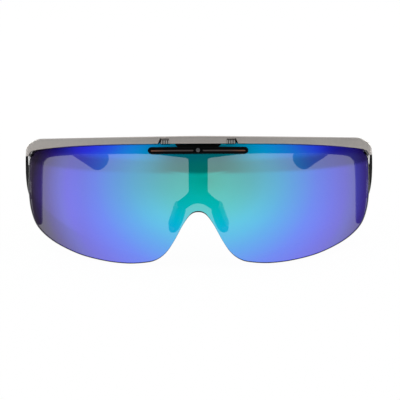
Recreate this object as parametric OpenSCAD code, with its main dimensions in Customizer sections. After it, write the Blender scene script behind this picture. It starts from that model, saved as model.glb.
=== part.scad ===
// Wraparound shield sunglasses. Millimetres.
// The glasses are drawn as worn, looking at their front: x to the right, y straight back from the
// front of the lens, z up. at_rest() then tips them onto the lens and the temple tips, as they
// stand on a table. Left and right are the wearer's, so left is +x.

/* [Lens] */
// Radius of the lens from side to side, about an upright axis
lens_radius = 100; // [98:0.5:103]
// Radius of the lens from top to bottom
lens_fall = 200; // [180:5:240]
// Thickness of the lens
lens_wall = 1.9; // [1.6:0.1:2.0]

/* [Brow cover] */
// Height of the top edge of the cover above the middle of the lens
brow_top = 25.6; // [25.5:0.1:26]
// Half the width over the ends of the cover
brow_reach = 73.05; // [72.9:0.05:73.4]
// Wall of the cover
brow_wall = 1.2; // [1.0:0.1:1.3]

/* [Inner frame] */
// Thickness of the frame behind the lens
frame_wall = 3.3; // [2.6:0.1:3.4]
// Half the width of the bridge column
column_half = 3.85; // [3.4:0.05:4.2]

/* [Nose pads] */
// Length of a pad
pad_length = 13.6; // [12.8:0.2:14.6]
// Width of a pad, front to back
pad_width = 7.1; // [6.8:0.1:8]
// Thickness of a pad
pad_wall = 2.2; // [1.6:0.1:2.4]
// Turn of the pads away from straight back
pad_splay = 28; // [26:1:32]
// Lean of the pads away from upright
pad_lean = 19; // [18:1:22]

/* [Temples] */
// Outward turn of the open temples
temple_splay = 3.5; // [3:0.1:4]
// Radius of the inward curve of a temple
temple_curve = 104; // [102:1:110]
// Length of a temple from its front edge to the end of the tip, along the temple
temple_length = 125; // [124.5:0.5:126]

/* [Hinges] */
// Outer radius of a hinge barrel
barrel_r = 1.85; // [1.7:0.05:1.95]
// Radius of the hinge screw
screw_r = 0.72; // [0.65:0.01:0.75]
// Radial clearance of the screw in the temple's knuckle
screw_fit = 0.05; // [0.03:0.01:0.08]

/* [Rest] */
// Angle by which the glasses lean back when they stand on a table
rest_tilt = 16.51; // [16.47:0.01:16.55]

/* [Hidden] */
// How far the origin, on the table under the middle, lies from the front of the lens
rest_back = -74.25;
rest_lift = 26.77;

// Small gaps between pieces that are fitted to each other
gap = 0.1;
// Depths behind the lens that hold the bar, the cover's front and the whole front
bar_room = 20;
cover_room = 14;
front_room = 50;

// Lens
lens_top = 23.6;
lens_half_angle = 56;
lens_foot = -27;
// Right half of the lower edge: nose notch, lobe, cheek and upper corner
lens_edge = [
  [0, -4.7], [3, -5.7], [6, -9.6], [9.6, -16.1], [13.2, -21.2], [17.6, -24.2], [23, -25.2],
  [29.5, -25.4], [38, -24.5], [48, -22.2], [57, -18.5], [63.5, -14.5], [68, -9.9],
  [70.4, -4.2], [71.45, 2], [71.6, 9], [71.5, 15.5], [70.9, 19], [69, 21.8], [66, 23.1],
  [62, lens_top]
];

// Brow cover
brow_front = lens_radius + 0.3;
brow_corner = 5;
brow_low = 22.95;
brow_depth = 8.4;
brow_back_y = 35;
brow_end_low = 18.95;
// Lip that hooks behind the frame
lip_half = 60;
lip_wall = 1;
// Corner at the end of the cover, from the top edge down to the outer face
corner_start = 60;
brow_corner_edge = [
  [corner_start, brow_top], [65.1, brow_top + 0.1], [67.1, brow_top + 0.1],
  [69, brow_top - 0.5], [70.6, brow_top - 1.2], [71.6, 23.4], [72.6, 22.1], [brow_reach, 20.8]
];
// Lower edge of the cover from its end to the middle
brow_low_edge = [
  [71.5, brow_end_low], [71.3, 19.6], [70.6, 20.5], [68.9, 21.15], [66, 21.5], [62.3, 21.8],
  [52.5, 22.35], [37.5, 22.8], [20, brow_low], [0, brow_low]
];

// Windows in the cover and the clips that show in them
clip_x = 11.4;
clip_top = 24.45;
clip_top_w = 3.8;
clip_low_w = 4.8;
clip_seam = 0.42;
clip_ribs = 5;
clip_rib_pitch = 0.68;
clip_rib_r = 0.2;
clip_arm_wall = 0.6;
clip_arm_back = lens_radius - 6.4;

// Inner frame
frame_gap = 0.1;
frame_top = 24.1;
frame_foot = -12;
band_low = 19.05;
arch_z = -1.2;
// Outer edge of the frame from its top corner down to the foot of the side drop
frame_outer = [
  [61, frame_top], [64.8, 23.6], [67.6, 22.4], [69.9, 19.4], [70.6, 15.5], [70.7, 9], [70.6, 2],
  [69.9, -3.6], [68.8, -7.6], [68, -9.3], [67.2, -9.95], [66.5, -9.9], [66, -9.2]
];
// Eye window from the side drop over the top and down the bridge column
frame_window = [
  [65.9, -8], [65.9, 2], [65.6, 14.4], [64.5, 17.1], [62.6, 18.3], [58, 18.8], [48, band_low],
  [34, band_low], [19.9, 18.85], [12, 18], [6.2, 17.35], [4.7, 17.1], [4.1, 16.65],
  [column_half, 15.7], [column_half, 8], [column_half, 3.9], [4.5, 2.8], [5.8, 1.5], [7.3, 0.4],
  [8.3, -0.6]
];
// Foot of the bridge column and the arch over the nose
frame_arch = [[8.5, -1.8], [7.5, -3.4], [5.6, -3.6], [3.9, -2.6], [2.2, -1.6], [0, arch_z]];

// Pads: the middle of a pad's face towards the frame
pad_at = [9.4, 11.1, -6.35];
pad_face_r = 26;
peg_r = 1;
peg_fit = 0.03;
peg_h = pad_wall * 0.6;
// Nose arm: the paddle under a pad, and the root on the foot of the bridge column
arm_wall = 1.2;
arm_r = 2;
arm_near = -2.5;
arm_far = 4.2;
root_at = [6.3, 5.3, -1.3];
root_r = 1.6;

// Hinge
hinge_x = 69.3;
hinge_y = 39;
hinge_z = 12;
knuckle_mid = 4.4;
knuckle_end = 2.6;
knuckle_gap = 0.1;
hinge_plate = 0.9;
hinge_plate_back = 50;
hinge_plate_half = 3.4;
pocket_depth = 1.3;
screw_head_r = 1.6;
screw_head_h = 0.8;
screw_end = 0.3;
screw_slot = 0.4;
// Seat of the hinge on the back of the frame's end
seat_x = 66.6;
seat_y = hinge_y - barrel_r - hinge_plate - gap;
seat_w = 4.2;
seat_half = 5.5;
// Block of the frame that carries the seat
block_low = 4;
block_high = 20.2;
block_front = 28;
block_r = lens_radius - lens_wall - 1.65;

// Temple
temple_front_y = 35.6;
temple_x = brow_reach + 0.6;
temple_straight = 39;
tip_start = 91.5;
tang = [10, 1.2, 3.6];
tang_in = 1.7;
tang_z = 25.2;
// Along the temple: distance from the front edge, lower edge, upper edge, thickness, and how far
// the lower edge is drawn in towards the cheek
temple_keys = [
  [0, 1.8, 21.4, 1.0, 1.6], [1.2, 0.7, 21.9, 1.25, 1.7], [7, 1.2, 22.3, 1.3, 1.3],
  [16, 5, 22.9, 2.2, 0.7], [26, 10.9, 24, 2.8, 0.2], [38, 16.8, 25.6, 3, 0],
  [54, 20.7, 27.7, 2.8, 0], [69, 22.8, 29.3, 2.6, 0], [82, 23.8, 30.1, 2.5, 0],
  [tip_start - gap, 23.5, 30, 2.5, 0]
];
tip_keys = [
  [tip_start, 23.3, 30.3, 3.4, 0], [96, 22.6, 29.6, 3.6, 0], [103, 20.1, 28.2, 3.6, 0],
  [109, 17.85, 26.9, 3.6, 0], [113.2, 16, 26, 3.6, 0], [116.2, 15.2, 25.5, 3.5, 0],
  [119.3, 15.95, 24.9, 3.4, 0], [121.8, 17.4, 24.2, 3.1, 0],
  [temple_length - 1.5, 19.1, 23.4, 2.6, 0], [temple_length, 20.7, 22.2, 1.2, 0]
];

// Lens bar
bar_half = 20;
bar_low = 18.7;
bar_high = 21.3;
bar_lift = 1.3;
tongue_low_half = 7.9;
tongue_high_half = 9.4;
tongue_lift = 0.9;
tongue_root = bar_high - 0.4;
inlay_near = 1.8;
inlay_far = 19;
inlay_half = 0.25;
inlay_z = 19.85;
inlay_depth = 0.35;
rivet_r = 0.7;
rivet_head_r = 0.85;
rivet_head_h = 0.25;
rivet_back = 4.9;
rivet_z = 20.1;

round_fn = 96;

// ---- Curves ----

// A point between b and c on the smooth curve through a, b, c and d
function between(a, b, c, d, t) =
  0.5 * (2 * b + (c - a) * t + (2 * a - 5 * b + 4 * c - d) * t * t
         + (3 * b - a - 3 * c + d) * t * t * t);

// A smooth curve through every key, with n steps from one key to the next
function curve(keys, n) =
  let (last = len(keys) - 1)
  concat(
    [for (i = [0 : last - 1]) for (j = [0 : n - 1])
      between(keys[max(i - 1, 0)], keys[i], keys[i + 1], keys[min(i + 2, last)], j / n)],
    [keys[last]]
  );

// The left half of an outline whose right half runs from the middle outwards, and both halves
function other_half(half) =
  [for (i = [len(half) - 1 : -1 : 0]) if (half[i][0] > 0) [-half[i][0], half[i][1]]];
function both_halves(half) = concat(other_half(half), half);

// ---- Places ----

// Stands the glasses on the table
module at_rest() {
  translate([0, rest_back, rest_lift]) rotate([-rest_tilt, 0, 0]) children();
}

// The right side is the left one mirrored
module side(which) {
  if (which == "left") children();
  else mirror([1, 0, 0]) children();
}

// ---- Forms ----

// A front view, drawn in x and z, carried from in front of the glasses back to y = depth
module from_front(depth) {
  ahead = 6;
  translate([0, depth, 0]) rotate([90, 0, 0]) linear_extrude(depth + ahead) children();
}

// A shell that follows the lens, from one depth behind its front surface to another
module lens_shell(front, back, low, high) {
  translate([0, lens_radius, 0])
    rotate_extrude(start = -90 - lens_half_angle, angle = 2 * lens_half_angle, $fn = 240)
      intersection() {
        translate([lens_radius - lens_fall, 0]) difference() {
          circle(lens_fall - front, $fn = 720);
          circle(lens_fall - back, $fn = 720);
        }
        translate([lens_radius * 0.8, low]) square([lens_radius * 0.3, high - low]);
      }
}

// Plan of the brow: the round front, blended into the straight ends by a corner radius
module brow_plan(radius, reach, corner) {
  corner_x = reach - corner;
  corner_y = lens_radius - sqrt(pow(radius - corner, 2) - corner_x * corner_x);
  far = 1.1 * radius / (radius - corner);
  wedge_x = corner_x * far;
  wedge_y = lens_radius - (lens_radius - corner_y) * far;
  intersection() {
    translate([0, lens_radius]) circle(radius, $fn = 360);
    polygon([[0, lens_radius], [wedge_x, wedge_y], [wedge_x, -radius], [-wedge_x, -radius],
             [-wedge_x, wedge_y]]);
  }
  for (x = [-corner_x, corner_x]) translate([x, corner_y]) circle(corner, $fn = round_fn);
  translate([-reach, corner_y]) square([2 * reach, lens_radius - corner_y]);
}

// A closed skin over a row of rings that each have the same number of points
module loft(rings) {
  count = len(rings[0]);
  last = len(rings) - 1;
  polyhedron(
    points = [for (ring = rings) for (p = ring) p],
    faces = concat(
      [[for (i = [count - 1 : -1 : 0]) i]],
      [for (r = [0 : last - 1]) for (i = [0 : count - 1])
        let (a = r * count + i, b = r * count + (i + 1) % count)
        each [[a, b, a + count], [b, b + count, a + count]]],
      [[for (i = [0 : count - 1]) last * count + i]]
    ),
    convexity = 6
  );
}

// A strip with round ends, whose centres lie at two points of the x axis
module slot_shape(from, to, r) {
  translate([from, -r]) square([to - from, 2 * r]);
  for (x = [from, to]) translate([x, 0]) circle(r, $fn = round_fn);
}

// ---- Front ----

module shield_lens() {
  color([0.1, 0.45, 0.75]) at_rest() difference() {
    intersection() {
      lens_shell(0, lens_wall, lens_foot, lens_top + 1);
      from_front(front_room) polygon(curve(both_halves(lens_edge), 3));
    }
    rivet_hole(0.05);
  }
}

module brow_cover() {
  color([0.6, 0.58, 0.56]) at_rest() difference() {
    intersection() {
      linear_extrude(brow_top + 2) difference() {
        intersection() {
          brow_plan(brow_front, brow_reach, brow_corner);
          translate([-lens_radius, brow_back_y - lens_radius])
            square([2 * lens_radius, lens_radius]);
        }
        translate([0, lens_radius]) circle(brow_front - brow_depth, $fn = 360);
      }
      from_front(front_room) polygon(brow_outline(0));
    }
    intersection() {
      linear_extrude(brow_top) difference() {
        brow_plan(brow_front - brow_wall - gap, brow_reach - brow_wall, brow_corner - brow_wall);
        // the lip that hooks behind the frame
        intersection() {
          translate([0, lens_radius]) circle(brow_front - brow_depth + lip_wall, $fn = 360);
          translate([-lip_half, -lip_half]) square(2 * lip_half);
        }
      }
      from_front(front_room) polygon(brow_outline(brow_wall));
    }
    for (s = ["left", "right"]) side(s) from_front(cover_room) clip_outline(0, 0);
  }
}

// Front view of the cover. With an inset it is the room under the cover, open below.
function brow_outline(inset) =
  let (
    upper = [for (p = curve(brow_corner_edge, 3))
      [p[0] - inset * (p[0] - corner_start) / (brow_reach - corner_start), p[1] - inset]],
    lower = inset > 0 ? [[brow_reach - inset, 0], [0, 0]]
      : concat([[brow_reach, brow_end_low]], curve(brow_low_edge, 2))
  )
  both_halves(concat(upper, lower));

// Trapezoid of a clip, upright on its inner side and slanted on its outer side. It stays clear of
// the window's inner side by fit, and of its top and outer side by seam.
module clip_outline(fit, seam) {
  polygon([
    [clip_x + fit, brow_low - 1], [clip_x + fit, clip_top - seam],
    [clip_x + clip_top_w - seam, clip_top - seam], [clip_x + clip_low_w - seam, brow_low - 1]
  ]);
}

// A spring clip: a ribbed face that fills a window of the cover, and an arm that runs back over
// the lens into a notch in the top of the frame
module brow_clip(which) {
  fit = 0.08;
  face_r = brow_front - gap;
  arm_z = lens_top + gap;
  color([0.4, 0.39, 0.38]) at_rest() side(which) {
    difference() {
      intersection() {
        from_front(cover_room) clip_outline(fit, clip_seam);
        clip_ring(brow_front - brow_wall, face_r, brow_low + 0.05, clip_top);
      }
      for (i = [0 : clip_ribs - 1])
        let (x = clip_x + (i + 0.9) * clip_rib_pitch)
          translate([x, lens_radius - sqrt(face_r * face_r - x * x), brow_low - 1])
            cylinder(r = clip_rib_r, h = 5, $fn = 16);
    }
    intersection() {
      from_front(cover_room) translate([clip_x + fit, arm_z])
        square([clip_top_w - clip_seam - fit, clip_arm_wall]);
      clip_ring(clip_arm_back, brow_front - brow_wall + 0.1, arm_z, arm_z + clip_arm_wall);
    }
  }
}

module clip_ring(inner, outer, low, high) {
  translate([0, lens_radius, low]) linear_extrude(high - low) difference() {
    circle(outer, $fn = 360);
    circle(inner, $fn = 360);
  }
}

module left_brow_clip() brow_clip("left");
module right_brow_clip() brow_clip("right");

// ---- Lens bar ----

module bar_outline() {
  r = (bar_high - bar_low) / 2;
  translate([0, bar_low + r]) slot_shape(r - bar_half, bar_half - r, r);
}

module lens_bar() {
  clear = 0.05;
  color([0.05, 0.05, 0.05]) at_rest() difference() {
    union() {
      intersection() {
        lens_shell(-bar_lift, -clear, bar_low - 1, bar_high + 1);
        from_front(bar_room) bar_outline();
      }
      intersection() {
        lens_shell(-tongue_lift, -clear, bar_high - 1, brow_low);
        from_front(bar_room) polygon([
          [-tongue_low_half, tongue_root], [tongue_low_half, tongue_root],
          [tongue_high_half, brow_low - gap], [-tongue_high_half, brow_low - gap]
        ]);
      }
    }
    for (s = ["left", "right"]) side(s) inlay_room(0, 1, inlay_depth + 0.05);
    rivet_hole(0.05);
  }
}

// The thin strip let into the face of the bar, or the groove for it: from above the bar's face to
// a depth under it
module inlay_room(shrink, above, deep) {
  intersection() {
    lens_shell(-bar_lift - above, -bar_lift + deep, bar_low, bar_high);
    from_front(bar_room) translate([0, inlay_z])
      slot_shape(inlay_near + inlay_half, inlay_far - inlay_half, inlay_half - shrink);
  }
}

module bar_inlay(which) {
  color([0.3, 0.2, 0.17]) at_rest() side(which) inlay_room(0.03, -0.02, inlay_depth);
}

module left_bar_inlay() bar_inlay("left");
module right_bar_inlay() bar_inlay("right");

// A hole for the rivet that holds the bar to the lens and the frame
module rivet_hole(clear) {
  translate([0, rivet_back + 2, rivet_z]) rotate([90, 0, 0])
    cylinder(r = rivet_r + clear, h = 2 * (rivet_back + 2), $fn = round_fn);
}

module bar_rivet() {
  head_y = -gap - bar_lift;
  drop = lens_fall - sqrt(lens_fall * lens_fall - rivet_z * rivet_z);
  color([0.75, 0.75, 0.77]) at_rest() {
    translate([0, rivet_back, rivet_z]) rotate([90, 0, 0])
      cylinder(r = rivet_r, h = rivet_back - head_y - drop + gap, $fn = round_fn);
    translate([0, head_y + drop, rivet_z]) rotate([90, 0, 0])
      cylinder(r = rivet_head_r, h = rivet_head_h, $fn = round_fn);
  }
}

// ---- Inner frame ----

// From the middle of the top, over the corner and down the side drop, then up round the eye window
// and down the column to the arch
frame_outline = both_halves(concat(
  [[0, frame_top]], curve(frame_outer, 2), curve(concat(frame_window, frame_arch), 2)));

module inner_frame() {
  front = lens_wall + frame_gap;
  color([0.08, 0.08, 0.09]) at_rest() difference() {
    union() {
      intersection() {
        lens_shell(front, front + frame_wall, frame_foot, frame_top + 1);
        from_front(front_room) polygon(frame_outline);
      }
      for (s = ["left", "right"]) side(s) {
        hinge_block();
        nose_arm();
      }
    }
    for (s = ["left", "right"]) side(s) {
      // notch for the arm of a clip
      translate([clip_x - gap, 0, lens_top]) cube([clip_top_w, 9, 2]);
      // seat for a hinge, and room for its barrel and screw
      translate([seat_x - gap, seat_y - 0.03, hinge_z - seat_half - gap])
        cube([seat_w + 3, 5, 2 * (seat_half + gap) + 1]);
    }
    rivet_hole(0.02);
  }
}

// The end of the frame, which reaches back past the lens and carries the hinge
module hinge_block() {
  back = seat_y - 0.03;
  translate([0, 0, block_low]) linear_extrude(block_high - block_low) intersection() {
    translate([seat_x - 0.2, block_front]) square([seat_w + 0.2, back - block_front]);
    translate([0, lens_radius]) circle(block_r, $fn = 360);
  }
}

// The place of a nose pad: x runs up its length, y across its width, z out of its face
module on_pad() {
  translate(pad_at) rotate([0, -pad_lean, 0]) rotate([0, 0, -pad_splay]) rotate([0, -90, 0])
    children();
}

module nose_arm() {
  on_pad() {
    translate([0, 0, -arm_wall - 0.08]) linear_extrude(arm_wall)
      slot_shape(arm_near, arm_far, arm_r);
    translate([0, 0, -arm_wall / 2]) cylinder(r = peg_r, h = arm_wall / 2 + peg_h, $fn = round_fn);
  }
  hull() {
    translate(root_at) rotate([90, 0, 0]) cylinder(r = root_r, h = root_r, $fn = 32);
    on_pad() translate([arm_far - 0.1, 0, -arm_wall + 0.1])
      cylinder(r = arm_r - 0.25, h = arm_wall - 0.35, $fn = 32);
  }
}

module nose_pad(which) {
  r = pad_width / 2;
  color([0.12, 0.12, 0.13]) at_rest() side(which) on_pad() difference() {
    intersection() {
      linear_extrude(pad_wall) slot_shape(-pad_length / 2 + r, pad_length / 2 - r, r);
      // the face is domed along and across
      translate([0, 0, pad_wall - pad_face_r]) sphere(pad_face_r, $fn = 180);
    }
    translate([0, 0, -1]) cylinder(r = peg_r + peg_fit, h = 1.1 + peg_h, $fn = round_fn);
  }
}

module left_nose_pad() nose_pad("left");
module right_nose_pad() nose_pad("right");

// ---- Hinges ----

module at_hinge(z) {
  translate([hinge_x, hinge_y, z]) children();
}

// The hole for the screw through every knuckle
module screw_hole(clear) {
  at_hinge(hinge_z - 2 * seat_half)
    cylinder(r = screw_r + clear, h = 4 * seat_half, $fn = round_fn);
}

// The open place of a temple: turned outwards about its hinge
module splayed() {
  at_hinge(0) rotate([0, 0, -temple_splay]) translate([-hinge_x, -hinge_y, 0]) children();
}

module frame_hinge(which) {
  reach = knuckle_mid / 2 + knuckle_gap;
  color([0.7, 0.7, 0.72]) at_rest() side(which) difference() {
    union() {
      translate([seat_x, seat_y, hinge_z - seat_half]) cube([seat_w, hinge_plate, 2 * seat_half]);
      for (z = [hinge_z - reach - knuckle_end, hinge_z + reach]) {
        at_hinge(z) cylinder(r = barrel_r, h = knuckle_end, $fn = round_fn);
        translate([hinge_x - seat_w / 4, seat_y + 0.2, z])
          cube([seat_w / 2, hinge_y - seat_y - 0.2, knuckle_end]);
      }
    }
    screw_hole(0.02);
  }
}

module temple_hinge(which) {
  plate_x = temple_x - pocket_depth - gap / 2 - hinge_plate;
  lead = barrel_r / 2;
  color([0.7, 0.7, 0.72]) at_rest() side(which) splayed() difference() {
    union() {
      at_hinge(hinge_z - knuckle_mid / 2) cylinder(r = barrel_r, h = knuckle_mid, $fn = round_fn);
      translate([hinge_x, hinge_y - lead, hinge_z - knuckle_mid / 2])
        cube([plate_x + 0.2 - hinge_x, 2 * lead, knuckle_mid]);
      translate([plate_x, hinge_y - lead, hinge_z - hinge_plate_half])
        cube([hinge_plate, hinge_plate_back - hinge_y + lead, 2 * hinge_plate_half]);
    }
    screw_hole(screw_fit);
  }
}

module hinge_screw(which) {
  low = hinge_z - knuckle_mid / 2 - knuckle_gap - knuckle_end;
  high = hinge_z + knuckle_mid / 2 + knuckle_gap + knuckle_end;
  color([0.8, 0.8, 0.82]) at_rest() side(which) difference() {
    union() {
      at_hinge(low - screw_end)
        cylinder(r = screw_r, h = high - low + 2 * screw_end, $fn = round_fn);
      at_hinge(high + 0.02) cylinder(r = screw_head_r, h = screw_head_h, $fn = round_fn);
    }
    at_hinge(high + screw_head_h - screw_slot) translate([-2, -screw_slot / 2, 0])
      cube([4, screw_slot, 1]);
  }
}

module left_frame_hinge() frame_hinge("left");
module right_frame_hinge() frame_hinge("right");
module left_temple_hinge() temple_hinge("left");
module right_temple_hinge() temple_hinge("right");
module left_hinge_screw() hinge_screw("left");
module right_hinge_screw() hinge_screw("right");

// ---- Temples ----

// How far the temple has turned inwards at a distance along it, in degrees
function temple_turn(s) = max(0, s - temple_straight) / temple_curve * 180 / PI;

// A point on the outer face of the temple, in plan
function temple_path(s) =
  let (a = temple_turn(s))
  [temple_x - temple_curve * (1 - cos(a)),
   temple_front_y + min(s, temple_straight) + temple_curve * sin(a)];

// A section of the temple: a rounded upright shape, whose foot is drawn in
function temple_ring(key, count) =
  let (
    a = temple_turn(key[0]),
    at = temple_path(key[0]),
    thick = key[3],
    mid = (key[1] + key[2]) / 2,
    half = (key[2] - key[1]) / 2,
    full = 0.5
  )
  [for (i = [0 : count - 1])
    let (
      t = 360 * i / count,
      across = sign(cos(t)) * pow(abs(cos(t)), full),
      up = sign(sin(t)) * pow(abs(sin(t)), full * 1.5),
      inward = thick / 2 * (1 - across) + key[4] * pow((1 - up) / 2, 4)
    )
    [at[0] - inward * cos(a), at[1] - inward * sin(a), mid + half * up]];

module temple_form(keys, steps) {
  loft([for (key = curve(keys, steps)) temple_ring(key, 20)]);
}

// The tongue at the end of the temple that the tip is pushed over
module temple_tang(grow) {
  a = temple_turn(tip_start + tang[0] / 2);
  at = temple_path(tip_start);
  translate([at[0], at[1], tang_z]) rotate([0, 0, a])
    translate([-tang_in - tang[1] / 2 - grow, -1, -tang[2] / 2 - grow])
      cube([tang[1] + 2 * grow, 1 + tang[0] + grow, tang[2] + 2 * grow]);
}

module temple(which) {
  color([0.05, 0.05, 0.05]) at_rest() side(which) splayed() difference() {
    union() {
      temple_form(temple_keys, 3);
      temple_tang(0);
    }
    // pocket for the plate of the hinge
    translate([temple_x - pocket_depth - 4, hinge_y - 1.2, hinge_z - hinge_plate_half - gap])
      cube([4, hinge_plate_back - hinge_y + 1.3, 2 * (hinge_plate_half + gap)]);
  }
}

module temple_tip(which) {
  color([0.09, 0.09, 0.1]) at_rest() side(which) splayed() difference() {
    temple_form(tip_keys, 3);
    temple_tang(0.05);
  }
}

module left_temple() temple("left");
module right_temple() temple("right");
module left_temple_tip() temple_tip("left");
module right_temple_tip() temple_tip("right");

inner_frame();
brow_cover();
shield_lens();
lens_bar();
left_bar_inlay();
right_bar_inlay();
bar_rivet();
left_brow_clip();
right_brow_clip();
left_nose_pad();
right_nose_pad();
left_frame_hinge();
right_frame_hinge();
left_temple_hinge();
right_temple_hinge();
left_hinge_screw();
right_hinge_screw();
left_temple();
right_temple();
left_temple_tip();
right_temple_tip();
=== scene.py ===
from math import atan2, cos, pi, radians, sin, sqrt

import bmesh
import bpy
import numpy as np
from mathutils import Matrix
from mathutils.geometry import delaunay_2d_cdt


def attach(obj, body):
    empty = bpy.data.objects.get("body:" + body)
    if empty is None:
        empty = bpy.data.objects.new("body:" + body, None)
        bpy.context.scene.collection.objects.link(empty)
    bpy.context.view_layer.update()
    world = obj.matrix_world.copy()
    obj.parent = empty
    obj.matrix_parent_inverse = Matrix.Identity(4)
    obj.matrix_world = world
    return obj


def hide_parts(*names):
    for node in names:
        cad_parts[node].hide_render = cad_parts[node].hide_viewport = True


# Wraparound shield sunglasses. The forms are in millimetres in the glasses' own upright frame, as
# they are worn: x to the wearer's left, y straight back from the front of the lens, z up. stand()
# tips that frame onto the table and turns it into metres.

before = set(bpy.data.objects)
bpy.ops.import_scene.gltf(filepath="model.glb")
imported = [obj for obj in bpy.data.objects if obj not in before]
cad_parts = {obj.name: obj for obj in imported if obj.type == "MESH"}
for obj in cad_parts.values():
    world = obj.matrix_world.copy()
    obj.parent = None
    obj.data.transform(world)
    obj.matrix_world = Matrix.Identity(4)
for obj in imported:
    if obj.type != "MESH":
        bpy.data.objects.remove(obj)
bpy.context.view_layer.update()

MM = 0.001
TILT = radians(16.51)
ORIGIN = np.array([0, -74.25, 26.77])

LENS_RADIUS = 100.0
LENS_FALL = 200.0
LENS_WALL = 1.9
LENS_TOP = 23.6
BROW_TOP = 25.6
BROW_LOW = 22.72
BROW_REACH = 73.05
BROW_WALL = 1.2


# ---- Frames and curves ----


def stand(points):
    """Turns points about x by the lean of the resting glasses and moves them over the table, in
    metres."""
    x, y, z = np.moveaxis(np.asarray(points, float), -1, 0)
    tipped = np.stack([x, y * cos(TILT) + z * sin(TILT), z * cos(TILT) - y * sin(TILT)], -1)
    return (tipped + ORIGIN) * MM


def smooth(keys, n):
    """Catmull-Rom curve through all keys, with n steps from one key to the next."""
    keys = np.asarray(keys, float)
    ends = np.concatenate([keys[:1], keys, keys[-1:]])
    a, b, c, d = (ends[i:len(ends) - 3 + i, None, :] for i in range(4))
    t = (np.arange(n) / n)[None, :, None]
    run = 0.5 * (2 * b + (c - a) * t + (2 * a - 5 * b + 4 * c - d) * t**2
                 + (3 * b - a - 3 * c + d) * t**3)
    return np.concatenate([run.reshape(-1, keys.shape[1]), keys[-1:]])


def both_halves(half):
    """The mirror image of a half outline, then the half outline itself, which starts at x = 0."""
    half = np.asarray(half, float)
    other = half[::-1][half[::-1][:, 0] > 0] * [-1, 1]
    return np.concatenate([other, half])


def evenly(outline, count):
    """A closed outline again, with count points at equal distances along it."""
    loop = np.concatenate([outline, outline[:1]])
    run = np.concatenate([[0], np.cumsum(np.linalg.norm(np.diff(loop, axis=0), axis=1))])
    at = np.linspace(0, run[-1], count, endpoint=False)
    return np.stack([np.interp(at, run, loop[:, i]) for i in range(loop.shape[1])], -1)


def eased(corners, cut, count):
    """A closed outline whose corners are each replaced by a curve that starts cut before the
    corner and ends cut after it."""
    corners = np.asarray(corners, float)
    before, after = np.roll(corners, 1, 0) - corners, np.roll(corners, -1, 0) - corners
    start = corners + before * cut / np.linalg.norm(before, axis=1)[:, None]
    end = corners + after * cut / np.linalg.norm(after, axis=1)[:, None]
    t = np.linspace(0, 1, 9)[None, :, None]
    bent = start[:, None] * (1 - t)**2 + 2 * corners[:, None] * t * (1 - t) + end[:, None] * t**2
    return evenly(bent.reshape(-1, 2), count)


def drawn_in(outline, inset):
    """A closed outline moved inwards by inset along its own normals."""
    ahead, behind = np.roll(outline, -1, 0), np.roll(outline, 1, 0)
    tangent = ahead - behind
    normal = np.stack([-tangent[:, 1], tangent[:, 0]], -1)
    normal /= np.linalg.norm(normal, axis=1)[:, None]
    area = np.sum(outline[:, 0] * ahead[:, 1] - ahead[:, 0] * outline[:, 1])
    return outline + normal * inset * np.sign(area)


def on_lens(x, z, depth):
    """Points of the toric sheet at a depth behind the front of the lens: in plan a circle of the
    lens's radius, which shrinks with height by the drop of a circle of the lens's fall."""
    ring = LENS_RADIUS - LENS_FALL + np.sqrt((LENS_FALL - depth)**2 - z**2)
    return np.stack([x, LENS_RADIUS - np.sqrt(ring**2 - x**2), z + 0 * x], -1)


def quarter(steps):
    """Sine and 1 - cosine of a quarter turn in equal steps: the run of a rounded edge."""
    turn = np.linspace(0, pi / 2, steps)
    return np.sin(turn), 1 - np.cos(turn)


# ---- Meshes ----


def grid_faces(rows, columns, first=0):
    """Quads between neighbouring rows, joined round the columns."""
    index = first + np.arange(rows * columns).reshape(rows, columns)
    index = np.concatenate([index, index[:, :1]], 1)
    quads = np.stack([index[:-1, :-1], index[:-1, 1:], index[1:, 1:], index[1:, :-1]], -1)
    return quads.reshape(-1, 4)


def skin(name, body, finishes, grids, bands=(), sharp=35):
    """One object from closed forms. Each grid of points (rows, columns, 3) is joined round its
    columns and closed by its first and last rows, as a flat face or, where a row is one point, as
    a pole. bands is the finish of each row of faces of the first grid."""
    points, faces, looks = [], [], []
    first = 0
    for grid in grids:
        rows, columns = grid.shape[:2]
        quads = grid_faces(rows, columns, first).tolist()
        band = np.repeat(bands, columns).tolist() if len(bands) and not points else [0] * len(quads)
        points.append(stand(grid).reshape(-1, 3))
        faces += quads
        looks += band
        for start in (0, rows - 1):
            if np.ptp(grid[start], axis=0).max() > 1e-6:
                faces.append(list(range(first + start * columns, first + (start + 1) * columns)))
                looks.append(band[0 if start == 0 else -1])
        first += rows * columns
    data = bpy.data.meshes.new(name)
    data.from_pydata(np.concatenate(points).tolist(), [], faces)
    data.polygons.foreach_set("material_index", looks)
    return closed_piece(name, data, body, finishes, sharp)


def closed_piece(name, data, body, finishes, sharp=35):
    """Merges doubles, turns the faces outwards, shades by angle and links the object."""
    mesh = bmesh.new()
    mesh.from_mesh(data)
    bmesh.ops.remove_doubles(mesh, verts=mesh.verts, dist=1e-6)
    bmesh.ops.dissolve_degenerate(mesh, edges=mesh.edges, dist=1e-7)
    bmesh.ops.recalc_face_normals(mesh, faces=mesh.faces)
    mesh.to_mesh(data)
    mesh.free()
    data.shade_smooth()
    data.set_sharp_from_angle(angle=radians(sharp))
    for finish in finishes:
        data.materials.append(finish)
    piece = bpy.data.objects.new(name, data)
    bpy.context.scene.collection.objects.link(piece)
    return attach(piece, body)


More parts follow.
